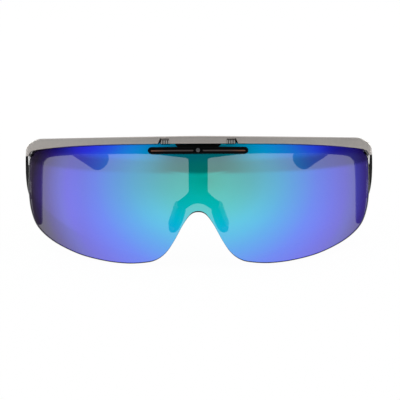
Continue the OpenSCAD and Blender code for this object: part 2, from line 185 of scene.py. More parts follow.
def plate(name, body, finish, outlines, front, back, edge, steps=4):
    """Plates that follow the lens between two depths: each outline's rim is a straight wall with
    rounded edges, and the front and back are filled by triangles between the rim's points."""
    points, faces = [], []
    first = 0
    for outline in outlines:
        run, fall = quarter(steps)
        inset = np.concatenate([edge * (1 - run), edge * fall])
        depth = np.concatenate([front + edge * fall, back - edge * (1 - run)])
        rim = np.stack([on_lens(*drawn_in(outline, i).T, d) for i, d in zip(inset, depth)])
        rows, columns = rim.shape[:2]
        points.append(rim.reshape(-1, 3))
        faces += grid_faces(rows, columns, first).tolist()
        fill = delaunay_2d_cdt(outline.tolist(), [], [list(range(columns))], 1, 1e-6)
        kept = [[fill[3][i][0] for i in face] for face in fill[2]]
        faces += [[first + i for i in face] for face in kept]
        faces += [[first + (rows - 1) * columns + i for i in face[::-1]] for face in kept]
        first += rows * columns
    data = bpy.data.meshes.new(name)
    data.from_pydata(stand(np.concatenate(points)).tolist(), [], faces)
    return closed_piece(name, data, body, [finish])


# ---- Finishes ----


class Wire:
    """A number that comes out of a socket, for use in Python expressions: each operator adds its
    Math node."""

    def __init__(self, finish, socket):
        self.finish, self.socket = finish, socket

    def maths(self, operation, *values):
        return self.finish.node("Math", {"operation": operation}, dict(enumerate(values)))

    def __add__(self, other):
        return self.maths("ADD", self, other)

    def __sub__(self, other):
        return self.maths("SUBTRACT", self, other)

    def __rsub__(self, other):
        return self.maths("SUBTRACT", other, self)

    def __mul__(self, other):
        return self.maths("MULTIPLY", self, other)

    def __truediv__(self, other):
        return self.maths("DIVIDE", self, other)

    def __pow__(self, other):
        return self.maths("POWER", self, other)

    __radd__, __rmul__ = __add__, __mul__

    def size(self):
        return self.maths("ABSOLUTE", self)

    def step(self, low, high):
        """0 below low and 1 above high, with a soft ramp between them."""
        return self.finish.node("MapRange", {"interpolation_type": "SMOOTHSTEP"},
                                {0: self, 1: low, 2: high})

    def either(self, other):
        return self.maths("MAXIMUM", self, other)


class Finish:
    """A node material, built by Python expressions."""

    def __init__(self, name, tree=None):
        if tree is None:
            self.material = bpy.data.materials.new(name)
            self.material.use_nodes = True
            tree = self.material.node_tree
        self.tree = tree
        tree.nodes.clear()

    def node(self, kind, settings=None, sockets=None, out=0):
        """Adds a node, sets its settings and then its sockets, and gives the output called out."""
        made = self.tree.nodes.new("ShaderNode" + kind)
        for key, value in (settings or {}).items():
            if key == "stops":
                self.set_stops(made.color_ramp.elements, value)
            else:
                setattr(made, key, value)
        for key, value in (sockets or {}).items():
            if isinstance(value, Wire):
                self.tree.links.new(value.socket, made.inputs[key])
            else:
                made.inputs[key].default_value = value
        return None if out is None else Wire(self, made.outputs[out])

    @staticmethod
    def set_stops(elements, stops):
        """Puts the stops, each a place and a colour, into a ramp."""
        elements.remove(elements[-1])
        elements[0].position = stops[0][0]
        elements[0].color = (*stops[0][1], 1)
        for place, colour in stops[1:]:
            elements.new(place).color = (*colour, 1)

    def place(self):
        """Object coordinates, in metres over the table."""
        return self.node("TexCoord", out="Object")

    def worn_place(self):
        """Object coordinates turned back into the glasses' own upright frame, in metres."""
        back = -np.array(ORIGIN) * MM
        turned = (back[0], back[1] * cos(TILT) - back[2] * sin(TILT),
                  back[1] * sin(TILT) + back[2] * cos(TILT))
        return self.node("Mapping", {}, {0: self.place(), 1: turned, 2: (TILT, 0, 0)})

    def axis(self, place, which):
        return self.node("SeparateXYZ", {}, {0: place}, which)

    def noise(self, scale, detail=2.0, place=None, roughness=0.5):
        """Even noise from 0 to 1, scale times to the metre."""
        return self.node("TexNoise", {}, {"Vector": place or self.place(), "Scale": scale,
                                          "Detail": detail, "Roughness": roughness})

    def blend(self, share, first, second, way="MIX"):
        """Two colours, mixed or multiplied by the share."""
        return self.node("Mix", {"data_type": "RGBA", "blend_type": way},
                         {0: share, 6: first, 7: second}, 2)

    def ramp(self, value, stops):
        return self.node("ValToRGB", {"stops": stops}, {0: value})

    def bump(self, height, strength, distance):
        return self.node("Bump", {}, {"Height": height, "Strength": strength, "Distance": distance})

    def shine(self, **sockets):
        """Ends the material in one Principled surface."""
        named = {key.replace("_", " "): value for key, value in sockets.items()}
        surface = self.node("BsdfPrincipled", {}, named)
        self.show(surface)
        return self.material

    def show(self, surface, kind="OutputMaterial"):
        self.node(kind, {}, {"Surface": surface}, out=None)


# ---- Finishes of the pieces ----


def mirror_coat():
    """The mirror on the front of the lens. Its colour runs in rings round a point over the nose,
    from teal through blue to violet and a dark edge. The hues are the coat's own, but how they
    spread over the lens is painted reflection: the change of the mirror's colour with the angle of
    view, fixed into rings. The part that is see-through is plain."""
    coat = Finish("mirror_coat")
    worn = coat.worn_place()
    x, z = coat.axis(worn, 0), coat.axis(worn, 2)
    ripple = (coat.noise(14, 1) - 0.5) * 0.002
    rise = z - RING_Z * MM
    above = rise.either(0)
    squashed = rise * RING_SQUASH + above * RING_TOP_SQUASH
    radius = ((x - above * RING_SKEW - RING_X * MM)**2 + squashed**2)**0.5 + ripple
    colour = coat.ramp(radius / (MIRROR_RINGS[-1][0] * MM),
                       [(r / MIRROR_RINGS[-1][0], rgb) for r, rgb in MIRROR_RINGS])
    crown = z.step(*CROWN_HEIGHTS) * radius.step(*CROWN_RADII)
    deeper = coat.blend(crown, colour, CROWN_TINT, "MULTIPLY")
    smear = coat.noise(60, 3) * 0.03 + 0.035
    return coat.shine(Base_Color=deeper, Metallic=1.0, Roughness=smear, Alpha=COAT_ALPHA)


def smoke_lens(name, alpha):
    """Grey tinted polycarbonate: the back of the lens, or its moulded edge."""
    smoke = Finish(name)
    tint = smoke.blend(smoke.noise(30), (0.012, 0.012, 0.014, 1), (0.018, 0.018, 0.02, 1))
    return smoke.shine(Base_Color=tint, Roughness=smoke.noise(80) * 0.06 + 0.04, IOR=1.58,
                       Specular_IOR_Level=0.2, Alpha=alpha)


def brow_paint():
    """Satin warm grey metallic paint: fine flakes under a thin clear coat."""
    paint = Finish("brow_paint")
    flake = paint.node("TexVoronoi", {"feature": "F1"}, {"Vector": paint.place(), "Scale": 5200.0},
                       out="Color")
    sparkle = paint.axis(flake, 0)
    cloud = paint.noise(90, 3)
    shade = sparkle * 0.35 + cloud * 0.3 + 0.1
    colour = paint.blend(shade, (0.29, 0.263, 0.245, 1), (0.47, 0.43, 0.4, 1))
    lean = paint.bump(sparkle, 0.12, 0.00002)
    return paint.shine(Base_Color=colour, Metallic=0.75, Roughness=sparkle * 0.12 + 0.34,
                       Normal=lean, Coat_Weight=0.25, Coat_Roughness=0.2)


def black_plastic(name, level, rough, grain, gloss):
    """Moulded black nylon: a fine eroded grain in the gloss and in the surface."""
    plastic = Finish(name)
    fine = plastic.noise(2600, 4)
    broad = plastic.noise(120, 2)
    colour = plastic.blend(broad, (level, level, level * 1.05, 1),
                           (level * 1.6, level * 1.6, level * 1.7, 1))
    return plastic.shine(Base_Color=colour, Roughness=fine * 0.12 + broad * 0.08 + rough,
                         Normal=plastic.bump(fine, grain, 0.00003), Specular_IOR_Level=gloss)


def temple_gloss():
    """Polished black nylon. Everything deeper than LACQUER_DEPTHS under the temple's outer face is
    lacquered, which is the face towards the cheek."""
    nylon = Finish("temple_gloss")
    worn = nylon.worn_place()
    x = nylon.axis(worn, 0).size() - HINGE[0] * MM
    y = nylon.axis(worn, 1) - HINGE[1] * MM
    across = x * cos(TEMPLE_SPLAY) - y * sin(TEMPLE_SPLAY) + HINGE[0] * MM
    along = x * sin(TEMPLE_SPLAY) + y * cos(TEMPLE_SPLAY) + HINGE[1] * MM
    curved = (along - (TEMPLE_FRONT_Y + TEMPLE_STRAIGHT) * MM).either(0)
    from_middle = ((across - (TEMPLE_X - TEMPLE_CURVE) * MM)**2 + curved**2)**0.5
    inner = (TEMPLE_CURVE * MM - from_middle).step(*LACQUER_DEPTHS)
    fine, broad = nylon.noise(2600, 4), nylon.noise(120, 2)
    colour = nylon.blend(broad, (0.004, 0.004, 0.0042, 1), (0.0064, 0.0064, 0.0068, 1))
    rough = (fine * 0.12 + broad * 0.08 + 0.08) * (1 - inner * 0.85)
    return nylon.shine(Base_Color=colour, Roughness=rough, Specular_IOR_Level=0.1,
                       Coat_Weight=inner, Coat_Roughness=0.02)


def soft_rubber(name, level):
    """Matt black rubber with a fine sandy grain and a faint bloom on its high spots."""
    rubber = Finish(name)
    sand = rubber.noise(3800, 5, roughness=0.65)
    bloom = rubber.noise(300, 3)
    colour = rubber.blend(bloom, (level, level, level, 1),
                          (level * 1.8, level * 1.8, level * 1.9, 1))
    return rubber.shine(Base_Color=colour, Roughness=sand * 0.2 + 0.5,
                        Normal=rubber.bump(sand, 0.35, 0.00004), IOR=1.45)


def turned_steel(name, colour, rough, lines):
    """Steel with fine drawn lines across its height."""
    steel = Finish(name)
    place = steel.node("Mapping", {}, {0: steel.place(), 3: (0.08, 0.08, 1.0)})
    drawn = steel.noise(lines, 3, place)
    tone = steel.blend(drawn, (*(c * 0.8 for c in colour), 1), (*colour, 1))
    return steel.shine(Base_Color=tone, Metallic=1.0, Roughness=drawn * 0.14 + rough,
                       Normal=steel.bump(drawn, 0.15, 0.00002))


def inlay_paint():
    """Russet line that fades to grey towards the middle of the bar."""
    line = Finish("inlay_paint")
    away = line.axis(line.place(), 0).size() / (INLAY_FAR * MM)
    fade = away.step(0.6, 1.0) * 0.8 + line.noise(900, 2) * 0.2
    colour = line.blend(fade, (0.045, 0.04, 0.04, 1), (0.17, 0.065, 0.035, 1))
    return line.shine(Base_Color=colour, Metallic=0.4, Roughness=line.noise(2000) * 0.1 + 0.35)


# ---- Lens ----

# Right half of the lens's lower edge: nose notch, lobe, cheek and upper corner
LENS_EDGE = [
    [0, -4.7], [3, -5.7], [6, -9.6], [9.6, -16.1], [13.2, -21.2], [17.6, -24.2], [23, -25.2],
    [29.5, -25.4], [38, -24.5], [48, -22.2], [57, -18.5], [63.5, -14.5], [68, -9.9],
    [70.4, -4.2], [71.45, 2], [71.6, 9], [71.5, 15.5], [70.9, 19], [69, 21.8], [66, 23.1],
    [62, LENS_TOP]]
# The point that the rings of the mesh shrink to, how round the rim is, and the mesh's fineness
LENS_MIDDLE = (0, 9.0)
LENS_RIM = 0.52
LENS_POINTS = 560
LENS_RINGS = 34
# How much of the light each finish of the lens holds back
COAT_ALPHA = 0.765
RIM_ALPHA = 0.92
BACK_ALPHA = 0.45
# The point over the nose that the rings of colour run round, how much narrower they are from top to
# bottom than from side to side, how much more so above that point, and how they lean aside there
RING_X = 3.3
RING_Z = 8.0
RING_SQUASH = 1.2
RING_TOP_SQUASH = 0.38
RING_SKEW = 0.07
# Where the colour deepens towards the top of the outer rings, in metres, and the tint that it
# takes: painted reflection, like the rings
CROWN_HEIGHTS = (0.0178, 0.0205)
CROWN_RADII = (0.036, 0.056)
CROWN_TINT = (0.6, 0.4, 1, 1)
# The rings' radii in millimetres and their colours: painted reflection, the change of the mirror's
# colour with the angle of view fixed in place
MIRROR_RINGS = [
    (0, (0.0, 0.64, 0.53)), (5, (0.0, 0.69, 0.59)), (9, (0.0, 0.69, 0.64)), (14, (0.0, 0.65, 0.66)),
    (18, (0.0, 0.62, 0.71)), (24, (0.0, 0.57, 0.83)), (29, (0.0, 0.49, 0.88)),
    (35, (0.012, 0.36, 0.93)), (40, (0.03, 0.27, 0.97)), (45, (0.055, 0.18, 1.0)),
    (49, (0.07, 0.14, 0.97)), (53, (0.085, 0.105, 0.9)), (57.6, (0.09, 0.08, 0.76)),
    (61, (0.08, 0.08, 0.6)), (64, (0.065, 0.055, 0.44)), (66.5, (0.05, 0.03, 0.3)),
    (69.5, (0.04, 0.024, 0.15)), (73, (0.03, 0.02, 0.05))]


def shield_lens():
    """The lens: its outline drawn in towards a middle point gives the rings of the front and of
    the back, and a rounded rim joins the two through the wall."""
    outline = evenly(smooth(both_halves(LENS_EDGE), 10), LENS_POINTS)
    middle = np.array(LENS_MIDDLE)
    reach = outline - middle
    spread = np.linalg.norm(reach, axis=1)[:, None]
    edge = LENS_RIM
    run, fall = quarter(5)

    def ring(share, inset, depth):
        """The outline less an inset, shrunk to a share of itself about the middle, at a depth."""
        return on_lens(*(middle + reach * share * (1 - inset / spread)).T, depth)

    shares = np.linspace(0, 1, LENS_RINGS)
    front = [ring(s, edge, 0) for s in shares]
    rim = [ring(1, edge * (1 - r), edge * f) for r, f in zip(run, fall)][1:]
    rim += [ring(1, edge * f, LENS_WALL - edge * (1 - r)) for r, f in zip(run, fall)][:-1]
    back = [ring(s, edge, LENS_WALL) for s in shares[::-1]]
    bands = np.repeat([0, 1, 2], [len(front) - 1, len(rim) + 1, len(back) - 1])
    lens = skin("shield_lens_mirror", "front",
                [mirror_coat(), smoke_lens("lens_edge_smoke", RIM_ALPHA),
                 smoke_lens("lens_back_smoke", BACK_ALPHA)],
                [np.stack(front + rim + back)], bands)
    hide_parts("shield_lens")


# ---- Brow cover ----

# The plan: radius of the front, radius of the corners, depth from front to back, where the ends
# stop, and how far the top reaches in past the wall there
BROW_FRONT = LENS_RADIUS + 0.3
BROW_CORNER = 5.0
BROW_DEPTH = 8.4
BROW_BACK_Y = 35.0
BROW_END_SHELF = 0.3
# Rounding of the top edge and of the smaller edges
BROW_SOFT = 0.5
BROW_SMALL = 0.3
# The lip that hooks behind the frame, and how far out along the cover it runs
LIP_WALL = 1.0
LIP_REACH = 62
# The top edge over the end of the cover, and its lower edge from the middle to the end
BROW_CORNER_EDGE = [
    [0, BROW_TOP + 0.25], [22, BROW_TOP + 0.1], [44, BROW_TOP + 0.1], [60, BROW_TOP + 0.25],
    [65.1, BROW_TOP + 0.35], [67.2, BROW_TOP + 0.2], [69.2, BROW_TOP - 0.5],
    [70.9, BROW_TOP - 1.25], [72, 23.3], [72.75, 22.1], [BROW_REACH, 20.8]]
BROW_LOW_EDGE = [
    [0, BROW_LOW], [20, BROW_LOW + 0.02], [37.5, 22.72], [52.5, 22.35], [62.3, 21.8], [66, 21.5],
    [68.9, 21.15], [70.6, 20.5], [71.3, 19.6], [71.5, 18.95], [BROW_REACH, 18.95]]
# The window of a clip: upright near the middle, where its edge takes up CLIP_STEP of the plan,
# and slanted on its outer side
CLIP_X = 11.4
CLIP_STEP = 0.02
CLIP_TOP = 24.95
CLIP_TOP_W = 3.8
CLIP_SLANT = 0.4
# How far the clip's face stays away from the window: over it, outside it, inside it and under it
CLIP_HEAD = 0.75
CLIP_SEAM = 0.42
CLIP_FIT = 0.08
CLIP_FOOT = 0.03
# Rounding of the face's corners, of the ribs' corners and of the edges of both
CLIP_CORNER = 0.1
CLIP_RIB_CORNER = 0.08
CLIP_EDGE = 0.08
# The ribs, and how far they stop short of the face's foot and head
CLIP_RIBS = 4
CLIP_RIB_PITCH = 0.95
CLIP_RIB_WIDTH = 0.42
CLIP_RIB_ENDS = (0.02, 0.05)
# Depths of the clip's face and of its ribs, front and back, from the front of the lens
CLIP_FACE = (-1.42, -0.6)
CLIP_RIB = (-1.62, -1.3)
# The clip's arm: inner and outer x, lower and upper face, and how far it runs behind the brow
CLIP_ARM = (11.48, 14.78, 23.65, 24.15)
CLIP_ARM_DEPTH = 6.7


def brow_top(x):
    """Height of the cover's top edge at x."""
    keys = smooth(BROW_CORNER_EDGE, 6)
    return np.interp(np.abs(x), keys[:, 0], keys[:, 1])


def brow_low(x):
    """Lower edge of the cover at x, raised over the windows of the clips."""
    keys = smooth(BROW_LOW_EDGE, 6)
    x = np.abs(x)
    slanted = CLIP_TOP - (x - CLIP_X - CLIP_TOP_W) / CLIP_SLANT
    window = np.where(x > CLIP_X, np.minimum(slanted, CLIP_TOP), 0)
    return np.maximum(np.interp(x, keys[:, 0], keys[:, 1]), window)


def brow_cover():
    """The cover: an upside-down trough carried along the plan of the brow, which is the big arc
    over the front, a small arc round each corner and a short straight end. The inner edge of the
    plan is an arc too, so the trough's width runs from one to the other."""
    corner_x = BROW_REACH - BROW_CORNER
    corner_y = LENS_RADIUS - sqrt((BROW_FRONT - BROW_CORNER)**2 - corner_x**2)
    turn = atan2(LENS_RADIUS - corner_y, corner_x)
    inner = BROW_FRONT - BROW_DEPTH
    # plan, from the end of the wearer's left to the middle
    round_corner = np.linspace(0, turn, 26)
    ends = np.array([[BROW_REACH, BROW_BACK_Y]])
    corner = np.stack([corner_x + BROW_CORNER * np.cos(round_corner),
                       corner_y - BROW_CORNER * np.sin(round_corner)], -1)
    slant_end = CLIP_X + CLIP_TOP_W + (CLIP_TOP - BROW_LOW) * CLIP_SLANT
    front_x = np.sort(np.concatenate([
        np.linspace(0, corner[-1, 0], 100)[:-1],
        [CLIP_X, CLIP_X + CLIP_STEP, CLIP_X + CLIP_TOP_W, slant_end]]))[::-1]
    arc = np.stack([front_x, LENS_RADIUS - np.sqrt(BROW_FRONT**2 - front_x**2)], -1)
    outer = np.concatenate([ends, corner, arc])
    # the inner edge of the trough opposite each point of the plan
    facing = np.arctan2(LENS_RADIUS - outer[:, 1], outer[:, 0])
    last = np.arcsin((LENS_RADIUS - BROW_BACK_Y) / inner)
    back_x = inner * cos(last)
    share = np.clip((last - facing) / (last - facing[0]), 0, 1)
    angle = np.maximum(facing, last)
    reach = BROW_REACH - BROW_WALL - BROW_END_SHELF - back_x
    edge = np.stack([inner * np.cos(angle) + share * reach,
                     LENS_RADIUS - inner * np.sin(angle)], -1)
    outer = np.concatenate([outer, outer[-2::-1] * [-1, 1]])
    edge = np.concatenate([edge, edge[-2::-1] * [-1, 1]])
    width = np.linalg.norm(edge - outer, axis=1)[:, None]
    inward = (edge - outer) / width
    lip = np.where(np.abs(outer[:, :1]) < LIP_REACH, LIP_WALL, 0.0)

    def run(inset, height):
        """A line along the cover: inset from the outer face, at a height that depends on x."""
        plan = outer + inward * np.minimum(inset, width)
        return np.concatenate([plan, height(plan[:, :1])], 1)

    def under(x):
        """Height of the underside of the cover's top at x."""
        return brow_top(x) - BROW_WALL

    def back_low(x):
        """Lower edge of the cover's back: the lip's, or the underside of the top outside it."""
        return np.where(lip > 0, BROW_LOW, under(x))

    across, fall = quarter(6)
    soft, small = BROW_SOFT, BROW_SMALL
    lines = [run(BROW_WALL, brow_low)]
    lines += [run(small * f, lambda x, r=r: brow_low(x) + small * (1 - r))
              for r, f in zip(across[::-1], fall[::-1])]
    lines += [run(0 * width, lambda x, s=s: brow_low(x) + small
                  + (brow_top(x) - soft - small - brow_low(x)) * s) for s in (0.25, 0.5, 0.75)]
    lines += [run(soft * f, lambda x, r=r: brow_top(x) - soft * (1 - r))
              for r, f in zip(across, fall)]
    lines += [run(soft + (width - soft - small) * s, brow_top) for s in (0.2, 0.4, 0.6, 0.8)]
    lines += [run(width - small * (1 - r), lambda x, f=f: brow_top(x) - small * f)
              for r, f in zip(across, fall)]
    lines += [run(width, back_low), run(width - lip, back_low), run(width - lip, under),
              run(BROW_WALL + 0 * width, under)]
    grid = np.stack(lines, 1)
    cover = skin("brow_cover_painted", "front", [brow_paint()], [grid])
    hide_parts("brow_cover")


def brow_clips():
    """The clips that show in the windows of the cover: a face with four upright ribs on it, and an
    arm that runs back over the frame. Face, arm and ribs are one steel: the dark of the face and
    arm is painted shade, and the brightness of the ribs is painted light."""
    # One steel in two colours: painted shade on the face and arm, painted light on the ribs.
    dark = turned_steel("clip_steel_painted_shade", (0.13, 0.125, 0.12), 0.4, 900)
    bright = turned_steel("clip_rib_steel_painted_light", (0.5, 0.48, 0.46), 0.36, 900)
    top, low = CLIP_TOP - CLIP_HEAD, BROW_LOW + CLIP_FOOT
    near, far = CLIP_X + CLIP_FIT, CLIP_X + CLIP_TOP_W - CLIP_SEAM
    face = [[near, low], [far + (top - low) * CLIP_SLANT, low], [far, top], [near, top]]
    foot, head, wide = low + CLIP_RIB_ENDS[0], top - CLIP_RIB_ENDS[1], CLIP_RIB_WIDTH
    ribs = [[[x, foot], [x + wide, foot], [x + wide, head], [x, head]]
            for x in near + CLIP_RIB_PITCH * np.arange(CLIP_RIBS)]
    x0, x1, z0, z1 = CLIP_ARM
    across, up = np.array([x0, x1, x1, x0]), np.array([z0, z0, z1, z1])
    radius = np.linspace(BROW_FRONT - BROW_WALL + 0.1, BROW_FRONT - CLIP_ARM_DEPTH, 6)[:, None]
    arm = np.stack([across + 0 * radius, LENS_RADIUS - np.sqrt(radius**2 - across**2),
                    up + 0 * radius], -1)
    for side, sign in (("left", 1), ("right", -1)):
        body = plate(f"{side}_clip_face", "front", dark,
                     [eased(face, CLIP_CORNER, 60) * [sign, 1]], *CLIP_FACE, CLIP_EDGE)
        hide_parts(f"{side}_brow_clip")
        lines = plate(f"{side}_clip_ribs", "front", bright,
                      [eased(rib, CLIP_RIB_CORNER, 48) * [sign, 1] for rib in ribs],
                      *CLIP_RIB, CLIP_EDGE)
        back = skin(f"{side}_clip_arm", "front", [dark], [arm * [sign, 1, 1]])


# ---- Lens bar ----

# The bar: half its length, its lower and upper edge, how far its face stands off the front of the
# lens, how round its edges are, and the gap that bar and tongue keep from the lens
BAR_HALF = 20.2
BAR_LOW = 18.7
BAR_HIGH = 21.5
BAR_LIFT = 1.3
BAR_EDGE = 0.42
LENS_CLEAR = 0.05
# The tongue: half its width at the root and at the top, how far its root lies under the bar's
# upper edge and its top under the cover, and how far its face stands off the lens
TONGUE_HALF = (7.9, 9.4)
TONGUE_ROOT = 0.4
TONGUE_GAP = 0.1
TONGUE_LIFT = 0.9
TONGUE_EDGE = 0.12
TONGUE_CORNER = 0.5
# The inlays: from where to where, half their height, and how far they stand proud of the bar's
# face and reach into it
INLAY_NEAR = 1.8
INLAY_FAR = 19.0
INLAY_HALF = 0.25
INLAY_Z = 19.95
INLAY_PROUD = 0.03
INLAY_SUNK = 0.2
INLAY_EDGE = 0.04
# The rivet's head: how far its edge stands off the bar, how wide and high the edge's rounding is,
# and then the radius and the height of each ring of the dome
RIVET_Z = 20.15
RIVET_R = 0.85
RIVET_STAND = 0.1
RIVET_EDGE = (0.12, 0.2)
RIVET_DOME = [(0.45, 0.22), (0.2, 0.235), (0, 0.24)]


def stadium(near, far, low, high):
    """A strip with round ends, from its near end to its far end."""
    r = (high - low) / 2
    turn = np.linspace(-pi / 2, pi / 2, 13)
    right = np.stack([far - r + r * np.cos(turn), low + r + r * np.sin(turn)], -1)
    left = np.stack([near + r - r * np.cos(turn), high - r - r * np.sin(turn)], -1)
    return evenly(np.concatenate([right, left]), int((far - near) * 5) + 40)


def lens_bar():
    """The bar, its tongue up to the cover, the two strips let into its face and the rivet."""
    bar = stadium(-BAR_HALF, BAR_HALF, BAR_LOW, BAR_HIGH)
    low, high = TONGUE_HALF
    root, top = BAR_HIGH - TONGUE_ROOT, BROW_LOW - TONGUE_GAP
    tongue = eased([[-low, root], [low, root], [high, top], [-high, top]],
                   TONGUE_CORNER, 160)
    gloss = black_plastic("bar_gloss", 0.0015, 0.1, 0.03, 0.03)
    body = plate("lens_bar_body", "front", gloss, [bar], -BAR_LIFT, -LENS_CLEAR, BAR_EDGE, 7)
    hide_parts("lens_bar")
    flap = plate("lens_bar_tongue", "front", gloss, [tongue], -TONGUE_LIFT, -LENS_CLEAR,
                 TONGUE_EDGE)
    paint = inlay_paint()
    for side, sign in (("left", 1), ("right", -1)):
        strip = stadium(INLAY_NEAR, INLAY_FAR, INLAY_Z - INLAY_HALF, INLAY_Z + INLAY_HALF)
        line = plate(f"{side}_bar_strip", "front", paint, [strip * [sign, 1]],
                     -BAR_LIFT - INLAY_PROUD, -BAR_LIFT + INLAY_SUNK, INLAY_EDGE)
        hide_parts(f"{side}_bar_inlay")
    # the rivet's head: a low dome turned about its axis
    turn = np.linspace(0, 2 * pi, 48, endpoint=False)
    drop = LENS_FALL - sqrt(LENS_FALL**2 - RIVET_Z**2)
    face = -BAR_LIFT - RIVET_STAND + drop
    rise, fall = quarter(6)
    radii, heights = np.array(RIVET_DOME).T
    radii = np.concatenate([[RIVET_R], RIVET_R - RIVET_EDGE[0] * fall, radii])
    heights = np.concatenate([[RIVET_STAND], -RIVET_EDGE[1] * rise, -heights])
    dome = np.stack([radii[:, None] * np.cos(turn), face + heights[:, None] + 0 * turn,
                     RIVET_Z + radii[:, None] * np.sin(turn)], -1)
    steel = turned_steel("rivet_steel", (0.11, 0.11, 0.115), 0.3, 700)
    head = skin("bar_rivet_head", "front", [steel], [dome])
    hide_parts("bar_rivet")


# ---- Inner frame ----

FRAME_EDGE = 0.3
FRAME_SHARP = radians(40)


def inner_frame(node):
    """The frame behind the lens, its hinge seats and its nose arms, with every sharp edge of the
    moulding rounded."""
    mesh = bmesh.new()
    mesh.from_mesh(node.data)
    bmesh.ops.remove_doubles(mesh, verts=mesh.verts, dist=1e-6)
    bmesh.ops.dissolve_limit(mesh, angle_limit=radians(1.0), verts=mesh.verts, edges=mesh.edges)
    data = bpy.data.meshes.new("inner_frame_moulding")
    mesh.to_mesh(data)
    mesh.free()
    data.materials.append(black_plastic("frame_plastic", 0.006, 0.22, 0.1, 0.22))
    data.shade_smooth()
    piece = bpy.data.objects.new("inner_frame_moulding", data)
    bpy.context.scene.collection.objects.link(piece)
    edges = piece.modifiers.new("rounded_edges", "BEVEL")
    edges.width = FRAME_EDGE * MM
    edges.segments = 2
    edges.limit_method = "ANGLE"
    edges.angle_limit = FRAME_SHARP
    edges.harden_normals = True
    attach(piece, "front")
    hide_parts("inner_frame")


# ---- Nose pads ----

# The middle of the pad's foot, its size, how round its edge is, how far the foot is drawn in, the
# radius of its face, and its turn about the upright and lean
PAD_AT = np.array([9.4, 11.1, -6.35])
PAD_LENGTH = 13.6
PAD_WIDTH = 7.1
PAD_WALL = 2.45
PAD_EDGE = 0.55
PAD_FOOT = 0.2
PAD_FACE_R = 26.0
PAD_SPLAY = radians(28)
PAD_LEAN = radians(19)


def nose_pads():
    """Each pad: rings of a strip with round ends, up its rounded side and in over a face that is
    part of a big sphere, to its middle."""
    r = PAD_WIDTH / 2
    outline = stadium(-PAD_LENGTH / 2, PAD_LENGTH / 2, -r, r)
    edge = PAD_EDGE
    rise, fall = quarter(7)

    def dome(points):
        """Height of the pad's face over its foot at points of the outline's plane."""
        far = PAD_FACE_R**2 - (points**2).sum(-1)
        return PAD_WALL - PAD_FACE_R + np.sqrt(far)

    def ring(inset, height):
        """The outline drawn in by an inset, at a height over the face."""
        flat = drawn_in(outline, inset)
        return np.concatenate([flat, (dome(flat) + height)[:, None]], 1)

    foot = drawn_in(outline, PAD_FOOT)
    rings = [np.concatenate([foot, 0 * foot[:, :1]], 1)]
    rings += [np.concatenate([outline, PAD_FOOT + 0 * outline[:, :1]], 1)]
    rings += [ring(edge * f, -edge * (1 - s)) for s, f in zip(rise, fall)]
    top = drawn_in(outline, edge)
    for share in np.linspace(1, 0, 12)[1:]:
        flat = top * share
        rings.append(np.concatenate([flat, dome(flat)[:, None]], 1))
    up, across, out = np.moveaxis(np.stack(rings), -1, 0)
    # the pad stands on its arm: turned about the upright for the splay, then leaned
    x, y, z = -out, across, up
    x, y = x * cos(PAD_SPLAY) + y * sin(PAD_SPLAY), y * cos(PAD_SPLAY) - x * sin(PAD_SPLAY)
    x, z = x * cos(PAD_LEAN) - z * sin(PAD_LEAN), z * cos(PAD_LEAN) + x * sin(PAD_LEAN)
    form = np.stack([x, y, z], -1) + PAD_AT
    rubber = soft_rubber("pad_rubber", 0.018)
    for side, sign in (("left", 1), ("right", -1)):
        pad = skin(f"{side}_pad_rubber", "front", [rubber], [form * [sign, 1, 1]])
        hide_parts(f"{side}_nose_pad")


# ---- Temples ----

# The hinge, the temples' splay about it, and the path of a temple's outer face: where it starts,
# how long it runs straight, and the radius that it then bends inwards with
HINGE = np.array([69.3, 39, 0])
TEMPLE_SPLAY = radians(3.5)
TEMPLE_X = BROW_REACH + 0.6
TEMPLE_FRONT_Y = 35.6
TEMPLE_STRAIGHT = 39.0
TEMPLE_CURVE = 104.0
TIP_START = 91.5
TEMPLE_LENGTH = 125.0
# Points round a section, and how square it is across and up: the powers of a cosine and a sine,
# where 1 gives an ellipse
SECTION_POINTS = 56
SECTION_ACROSS = 0.5
SECTION_UP = 0.75
# Between which depths under the outer face the lacquer starts, in metres
LACQUER_DEPTHS = (0.0007, 0.001)
# Along the temple: distance from the front edge, lower edge, upper edge, thickness, and how far
# the lower edge is drawn in towards the cheek
TEMPLE_KEYS = [
    [0, 1.8, 21.4, 1.0, 1.6], [1.2, 0.7, 21.9, 1.25, 1.7], [7, 1.2, 22.3, 1.3, 1.3],
    [16, 5, 22.9, 2.2, 0.7], [26, 10.9, 24, 2.8, 0.2], [38, 16.8, 25.6, 3, 0],
    [54, 20.7, 27.5, 2.8, 0], [69, 22.8, 28.8, 2.6, 0], [82, 23.8, 29.3, 2.5, 0],
    [TIP_START - 0.1, 23.5, 29.2, 2.5, 0]]
TIP_KEYS = [
    [TIP_START, 23.3, 29.5, 3.4, 0], [96, 22.6, 29, 3.6, 0], [103, 20.1, 28, 3.6, 0],
    [109, 17.85, 26.9, 3.6, 0], [113.2, 16, 26, 3.6, 0], [116.2, 15.2, 25.5, 3.5, 0],
    [119.3, 15.95, 24.9, 3.4, 0], [121.8, 17.4, 24.2, 3.1, 0],
    [TEMPLE_LENGTH - 1.5, 19.1, 23.4, 2.6, 0], [TEMPLE_LENGTH, 20.7, 22.2, 1.2, 0]]


